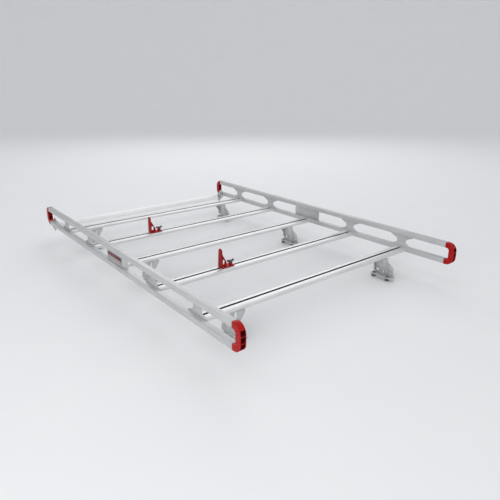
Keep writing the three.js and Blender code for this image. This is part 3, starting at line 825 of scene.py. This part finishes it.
def foot(y):
    lo, hi = span("foot_front_right")
    top, base = hi.z, lo.z
    base_top = base + SOLE_THICKNESS
    under = top - 1.5                           # web and gussets end inside the flange
    half = FOOT_HALF
    lean = WEB_LEAN / (top - base_top)
    front, rear = y - FOOT_FRONT, y + FOOT_REAR
    elbow, shoulder = LOW_Z - 50, LOW_Z - 20
    hole_z = LOW_Z - 88
    shape = rounded([
        (front, base + 2, 4), (rear - 12, base + 2, 4), (rear, base + 14, 4), (rear, elbow, 5),
        (y + half, elbow + 14, 5), (y + half, under, 0), (y - half, under, 0),
        (y - half, shoulder, 6), (front, elbow, 9),
    ], 6)
    window = rounded(rect(y - 40, LOW_Z - 34, y - 18, LOW_Z - 5, 7), 6)
    upright_slot = rounded(rect(y - 13.5, hole_z - 13, y - 6.5, hole_z + 13, 3.4), 5)
    holes = [window, circle(y + 31, hole_z, 9.5), circle(y - 62, hole_z, 5), upright_slot]
    shear = Matrix.Identity(4)
    shear[0][2] = -lean
    web = plate(shape, holes, "x", WEB_IN, WEB_OUT, bevel=0.8)
    web.transform(at(0, 0, top) @ shear @ at(0, 0, -top))
    low = LOW_Z - GUSSET_LOW

    def inside(z):
        """X just inside the leaning web at a height."""
        return WEB_IN + 1.2 + (top - z) * lean

    side_shape = rounded([
        (FLANGE_IN + 0.5, under, 0), (FLANGE_IN + 0.5, top - 10, 7), (WEB_IN, elbow - 10, 12),
        (WEB_IN, low + 14, 3), (inside(low), low, 1), (inside(top), under, 0),
    ], 6)
    sides = [plate(side_shape, [], "y", y + s, y + s + 3.6, bevel=0.6)
             for s in (-half + 0.4, half - 4)]
    flange = plate(rounded(rect(FLANGE_IN, y - half, WEB_OUT, y + half, 2), 4), [], "z",
                   top - FLANGE_THICKNESS, top, bevel=0.6)
    sole_shape = [(SOLE_IN, y - SOLE_FRONT, 5), (SOLE_OUT, y - SOLE_FRONT, 16),
                  (SOLE_OUT, y + SOLE_REAR, 8), (SOLE_IN, y + SOLE_REAR, 5)]
    pad_holes = [circle(PAD_HOLE_X, y + d, 5.5) for d in PAD_BOLTS]
    sole = plate(rounded(sole_shape, 6), pad_holes, "z", base, base_top, bevel=0.8)
    lip = plate(rounded(rect(front + 1, base + 1, rear - 14, base + 9, 3), 4), [], "x",
                LIP_IN, LIP_OUT, bevel=0.8)
    beads = [weld((SOLE_BEAD_X, front + 6, base_top + 0.4),
                  (SOLE_BEAD_X, rear - 16, base_top + 0.4), 1.6)]
    for bead_y in (y - half + 4.3, y + half - 4.3):
        beads.append(weld((inside(top - 8) - 1.2, bead_y, top - 8),
                          (inside(low + 4) - 1.2, bead_y, low + 4), 1.4))
    return welded(web, *sides, flange, sole, lip, beads=beads)


def foot_fixings(y):
    lo, hi = span("foot_front_right")
    sole_top = lo.z + SOLE_THICKNESS
    parts = []
    for d in PAD_BOLTS:
        head = hex_bolt(across=13, height=5.5, washer=9.5)
        parts.append(moved(head, at(PAD_BOLT_X, y + d, sole_top)))
        stem = lathe([(0, 1.0), (4.0, 1.0), (4.2, 1.6), (4.2, sole_top + 0.6),
                      (0, sole_top + 0.6)], 24)
        parts.append(moved(stem, at(PAD_BOLT_X, y + d, 0)))
    for d in FLANGE_BOLTS:
        head = moved(hex_bolt(across=13, height=5.5, washer=9), UPSIDE_DOWN)
        parts.append(moved(head, at(FLANGE_BOLT_X, y + d, hi.z - FLANGE_THICKNESS)))
    return joined(*parts)


def pad():
    lo, hi = span("foot_pad_front_right_a")
    h = hi.z - lo.z
    bore, rim, waist = (5.5, 6.1), (12.2, 13), 12.4     # with and without their chamfers
    return lathe([
        (bore[0], 0.6), (bore[1], 0), (rim[0], 0), (rim[1], 0.8), (rim[1], 3.2), (waist, 4.0),
        (waist, h - 4.0), (rim[1], h - 3.2), (rim[1], h - 0.8), (rim[0], h), (bore[1], h),
        (bore[0], h - 0.6), (bore[0], 0.6),
    ], 44)


for side_name, flip in SIDES:
    for p in ("front", "middle", "rear"):
        y = BAR_Y[POSITIONS.index(p)]
        node = f"foot_{p}_{side_name}"
        place(f"{node}_bracket", moved(foot(y), flip), "rack", [FOOT, WELD], [node])
        place(f"{node}_bolts", moved(foot_fixings(y), flip), "rack", [HARDWARE])
        for letter in "ab":
            node = f"foot_pad_{p}_{side_name}_{letter}"
            lo, hi = span(node)
            spot = at((lo.x + hi.x) / 2, (lo.y + hi.y) / 2, lo.z)
            place(f"{node}_spacer", moved(pad(), spot), "rack", [PAD], [node])


# ---- Loading roller ---------------------------------------------------------------------
roller_lo, roller_hi = span("roller_tube")
ROLLER_Y = (roller_lo.y + roller_hi.y) / 2
ROLLER_Z = (roller_lo.z + roller_hi.z) / 2
ROLLER_END = roller_hi.x
AXIS = at(0, ROLLER_Y, ROLLER_Z) @ UP_TO_OUTSIDE
TUBE_BORE = 19.5            # radii
TUBE_OUTER = 22
BUSH_BORE = 6.4
AXLE = 6
BRACKET_BOLTS = (1052, 1080)        # along Y
BRACKET_BOLT_RISE = 20              # above the lower rail's bottom

e = ROLLER_END
tube = lathe([
    (TUBE_BORE, -e + 0.6), (20.1, -e), (21.2, -e), (TUBE_OUTER, -e + 0.8),
    (TUBE_OUTER, e - 0.8), (21.2, e), (20.1, e), (TUBE_BORE, e - 0.6), (TUBE_BORE, -e + 0.6),
], 72)
place("roller_tube_sleeve", moved(tube, AXIS), "roller", [ROLLER],
      ["roller_tube"])
for side_name, flip in SIDES:
    e = ROLLER_END + 0.3
    bush = lathe([
        (BUSH_BORE, e - 21), (18.6, e - 21), (19.1, e - 20), (19.1, e), (21.4, e),
        (TUBE_OUTER, e + 0.7), (TUBE_OUTER, e + 2.6), (20.6, e + 3.4), (11, e + 3.4),
        (10.2, e + 4.4), (7.0, e + 4.4), (BUSH_BORE, e + 3.8), (BUSH_BORE, e - 21),
    ], 56)
    node = f"roller_bush_{side_name}"
    place(f"{node}_bearing", moved(moved(bush, AXIS), flip), "roller",
          [BUSH], [node])

tip = span("roller_axle")[1].x
axle = lathe([(0, -tip), (5.2, -tip), (AXLE, -tip + 0.9), (AXLE, tip - 0.9), (5.2, tip),
              (0, tip)], 36)
place("roller_axle_rod", moved(axle, AXIS), "rack", [HARDWARE], ["roller_axle"])


def roller_bracket():
    lo, hi = span("roller_bracket_right")
    corners = [     # (Y, height from the lower rail's bottom, radius)
        (1026, 16, 5), (1088, -36, 6), (1092, -47, 6), (1107, -56, 7), (1130, -52, 9),
        (1147, -26, 7), (1147, -8, 7), (1084, 49, 6), (1048, 33, 9), (1024, 24, 4),
    ]
    outline = rounded([(y, LOW_Z + z, radius) for y, z, radius in corners], 8)
    bore = circle(ROLLER_Y, ROLLER_Z, 6.5, 32)
    return plate(outline, [bore], "x", lo.x, hi.x, bevel=0.9, bevel_steps=3)


def bracket_fixings():
    lo, hi = span("roller_bracket_right")
    parts = []
    for y in BRACKET_BOLTS:
        head = hex_bolt(across=13, height=5, washer=9)
        parts.append(moved(head, at(lo.x, y, LOW_Z + BRACKET_BOLT_RISE) @ UP_TO_INSIDE))
    nut = hex_bolt(across=18, height=5.5, washer=12)
    parts.append(moved(nut, at(hi.x + 0.3, ROLLER_Y, ROLLER_Z) @ UP_TO_OUTSIDE))
    collar = lathe([(6.4, -SEAT), (10, -SEAT), (10.6, 0.6), (10.6, 3.4), (10, 4), (6.4, 4),
                    (6.4, -SEAT)], 36)
    parts.append(moved(collar, at(lo.x, ROLLER_Y, ROLLER_Z) @ UP_TO_INSIDE))
    return joined(*parts)


for side_name, flip in SIDES:
    node = f"roller_bracket_{side_name}"
    place(f"{node}_plate", moved(roller_bracket(), flip), "rack",
          [PLATE], [node])
    place(f"{node}_bolts", moved(bracket_fixings(), flip), "rack", [HARDWARE])


# ---- Ladder stops --------------------------------------------------------------------------
STOP_BASE = 5               # thickness of the base and of the upright
STOP_HALF = 22
UPRIGHT_HALF = 21.8         # a little inside the base, so that no two faces coincide
RIB_HALF = 2.5
RIB_REACH = 42
RIB_LOW, RIB_HIGH = 24, 86  # its top edge above the crossbar, at its tip and at the upright
BOSS_BORE, BOSS_RADIUS = 4.6, 11
BOSS_TOP = 17               # above the base's underside


def ladder_stop(y, bolt_x):
    lo, hi = span("ladder_stop_front_mid")
    x, z0, top = lo.x, lo.z, hi.z
    outline = rounded(rect(x + 0.4, y - STOP_HALF, hi.x, y + STOP_HALF, 3.5), 6)
    base = plate(outline, [circle(bolt_x, y, BOSS_BORE)], "z", z0, z0 + STOP_BASE,
                 bevel=0.8, bevel_steps=3)
    h = UPRIGHT_HALF
    outline = rounded([
        (y - h, z0 + 0.4, 0), (y + h, z0 + 0.4, 0), (y + h, z0 + 12, 8), (y + 14.5, top, 13.4),
        (y - 14.5, top, 13.4), (y - h, z0 + 12, 8),
    ], 10)
    upright = plate(outline, [], "x", x, x + STOP_BASE, bevel=0.8, bevel_steps=3)
    b = BAR_TOP
    outline = rounded([
        (x + 4.2, z0 + 4.2, 0), (x + RIB_REACH, z0 + 4.2, 0), (x + RIB_REACH, b + RIB_LOW, 6),
        (x + 12, b + RIB_HIGH - 8, 12), (x + 4.2, b + RIB_HIGH, 0),
    ], 8)
    rib_window = ellipse(x + 21, b + 28, 8.5, 14, 40)
    rib = plate(outline, [rib_window], "y", y - RIB_HALF, y + RIB_HALF, bevel=0.8, bevel_steps=3)
    beads = []
    for s in (-1, 1):
        bead_y = y + s * (RIB_HALF + 0.4)
        beads.append(weld((x + 6, bead_y, z0 + 5.4), (x + 40, bead_y, z0 + 5.4), 1.5))
        beads.append(weld((x + 5.4, bead_y, z0 + 8), (x + 5.4, bead_y, b + 80), 1.4))
    boss = lathe([
        (BOSS_BORE, z0 + 4.4), (11.4, z0 + 4.4), (BOSS_RADIUS, z0 + 5.8),
        (BOSS_RADIUS, z0 + BOSS_TOP - 1), (10.0, z0 + BOSS_TOP), (5.2, z0 + BOSS_TOP),
        (BOSS_BORE, z0 + BOSS_TOP - 0.6), (BOSS_BORE, z0 + 4.4),
    ], 48)
    return joined(base, upright, rib, moved(boss, at(bolt_x, y, 0)), *beads)


WING_HALF = 3.5             # half the wings' thickness
KNOB_BORE = 4.4
GRIPS = 3                   # ribs on each wing
GRIP_PITCH = 2.6


def wing_knob(x, y, z):
    hub = lathe([
        (KNOB_BORE, 0.3), (4.7, 0), (9.0, 0), (9.5, 0.6), (9.5, 5.6), (9.1, 6.4), (8.2, 8.8),
        (8, 9.6), (8, 11.6), (7.4, 12.6), (6.2, 13.3), (5.2, 13.5), (3.9, 13.5), (3.9, 12.6),
        (0, 12.6), (0, 11), (KNOB_BORE, 11), (KNOB_BORE, 0.3),
    ], 48)
    wings, grips = [], []
    for s in (-1, 1):
        outline = rounded([(s * 5, 2.4, 0), (s * 14, 3.4, 5), (s * 22.5, 7, 4), (s * 22.5, 17, 5),
                           (s * 13, 16, 5), (s * 5, 10, 0)], 8)
        wings.append(plate(outline[::s], [], "y", -WING_HALF, WING_HALF, bevel=1.5, bevel_steps=4))
        for k in range(GRIPS):
            low = 8.2 + GRIP_PITCH * k
            outline = rounded(rect(s * 18 - 2.6, low, s * 18 + 2.6, low + 1.2, 0.55), 4)
            grips.append(plate(outline, [], "y", -WING_HALF, WING_HALF, bevel=0.35))
    insert = lathe([(0, 12.4), (3.1, 12.4), (3.5, 12.9), (3.5, 13.3), (2.6, 13.45), (2.2, 13.1),
                    (0, 13.1)], 28)
    return moved(joined(hub, *wings, *grips, (insert, 1)), at(x, y, z))


THREAD_RADIUS = 3.9
THREAD_PITCH = 1.25
THREAD_DEPTH = 0.55
T_HEAD = 4.5                # thickness of the plate that slides in the slot


def t_bolt(lo, hi, x, y):
    w = (hi.x - lo.x) / 2
    outline = rounded(rect(x - w, y - w, x + w, y + w, 2), 3)
    head = softened(prism(outline, "z", lo.z, lo.z + T_HEAD), 0.5, 2)
    r, root, pitch = THREAD_RADIUS, THREAD_RADIUS - THREAD_DEPTH, THREAD_PITCH
    z = lo.z + 4
    profile = [(0, z)]
    while z < hi.z - 1.2:
        profile += [(root, z), (r, z + pitch * 0.35), (r, z + pitch * 0.5),
                    (root, z + pitch * 0.85)]
        z += pitch
    profile += [(r - 0.6, hi.z - 0.8), (r - 1.3, hi.z), (0, hi.z)]
    return joined(head, moved(lathe(profile, 28), at(x, y, 0)))


for p in ("front_mid", "rear_mid"):
    y = BAR_Y[POSITIONS.index(p)]
    knob_lo, knob_hi = span(f"wing_knob_{p}")
    knob_x = (knob_lo.x + knob_hi.x) / 2
    node = f"ladder_stop_{p}"
    place(f"{node}_bracket", ladder_stop(y, knob_x), f"stop_{p}", [STOP], [node])
    node = f"t_bolt_{p}"
    place(f"{node}_thread", t_bolt(*span(node), knob_x, y), f"stop_{p}",
          [HARDWARE], [node])
    node = f"wing_knob_{p}"
    place(f"{node}_grip", wing_knob(knob_x, y, knob_lo.z), f"knob_{p}",
          [KNOB, HARDWARE], [node])


# ---- Floor, light and camera, in metres -----------------------------------------------------
def floor_finish():
    m = Nodes("pale_floor")
    m.set(base_color=m.colour(m.noise(3, 4), (0.87, 0.87, 0.88), (0.90, 0.90, 0.90)),
          roughness=m.ramp(m.noise(20, 3), 0.6, 0.75), metallic=0.0)
    m.bump((m.noise(300, 2), 0.02, 0.0004))
    return m.material


FLOOR_RADIUS = 9.0
SWEEP_RADIUS = 6.0
WALL_TOP = 12.0


def studio_sweep(sides=96, steps=16):
    """A round floor that curves up into a wall all round, so no edge or horizon shows."""
    profile = [(3.0, 0.0), (6.0, 0.0)]
    for i in range(steps + 1):
        angle = math.pi / 2 * i / steps
        profile.append((FLOOR_RADIUS + SWEEP_RADIUS * math.sin(angle),
                        SWEEP_RADIUS * (1 - math.cos(angle))))
    profile.append((FLOOR_RADIUS + SWEEP_RADIUS, WALL_TOP))
    verts = [(0.0, 0.0, 0.0)]
    for r, z in profile:
        verts += [(r * math.cos(t), r * math.sin(t), z) for t in turns(sides)]
    faces = [(0, 1 + k, 1 + (k + 1) % sides) for k in range(sides)]
    for ring in range(len(profile) - 1):
        a = 1 + ring * sides
        b = a + sides
        for k in range(sides):
            j = (k + 1) % sides
            faces.append((a + k, b + k, b + j, a + j))
    mesh = bpy.data.meshes.new("floor")
    mesh.from_pydata(verts, [], faces)
    shade(mesh, 80)
    return mesh


floor = make("floor", studio_sweep(), floor_finish())

SKY = (0.92, 0.95, 1.0, 1)
SKY_STRENGTH = 0.43
scene = bpy.context.scene
world = bpy.data.worlds.new("studio")
world.use_nodes = True
world.node_tree.nodes["Background"].inputs[0].default_value = SKY
world.node_tree.nodes["Background"].inputs[1].default_value = SKY_STRENGTH
scene.world = world


def soft_light(name, location, target, size, energy):
    """A rectangular light of a given size, aimed at a point, its energy in watts."""
    light = bpy.data.lights.new(name, "AREA")
    light.shape = "RECTANGLE"
    light.size, light.size_y = size
    light.energy = energy
    holder = bpy.data.objects.new(name, light)
    scene.collection.objects.link(holder)
    holder.location = location
    holder.rotation_mode = "QUATERNION"
    aim = Vector(target) - Vector(location)
    holder.rotation_quaternion = aim.to_track_quat("-Z", "Y")
    holder.visible_camera = False


RACK_MIDDLE = (0, 0, 0.2)
soft_light("ceiling", (0, 0, 11.5), (0, 0, 0), (20.0, 20.0), 620)
soft_light("front_left", (-4.2, -3.0, 2.2), RACK_MIDDLE, (2.6, 2.0), 80)
soft_light("front", (1.4, -4.6, 1.6), RACK_MIDDLE, (2.4, 1.6), 5)
soft_light("back", (3.4, 4.3, 3.6), RACK_MIDDLE, (5.0, 2.4), 62)

camera_data = bpy.data.cameras.new("camera")
camera_data.lens = 35.04
camera_data.sensor_width = 36
camera_data.clip_start = 0.05
camera_data.clip_end = 100
camera = bpy.data.objects.new("camera", camera_data)
scene.collection.objects.link(camera)
CAMERA_PLACE = Vector((-1.7364, -2.4289, 1.1321))
CAMERA_AIM = Vector((0.0263, -0.2186, 0.1285))
CAMERA_ROLL = math.radians(-0.0217)
level_turn = (CAMERA_AIM - CAMERA_PLACE).to_track_quat("-Z", "Y").to_matrix().to_4x4()
roll_turn = Matrix.Rotation(CAMERA_ROLL, 4, "Z")
camera.matrix_world = Matrix.Translation(CAMERA_PLACE) @ level_turn @ roll_turn
scene.camera = camera
scene.view_settings.view_transform = "Standard"
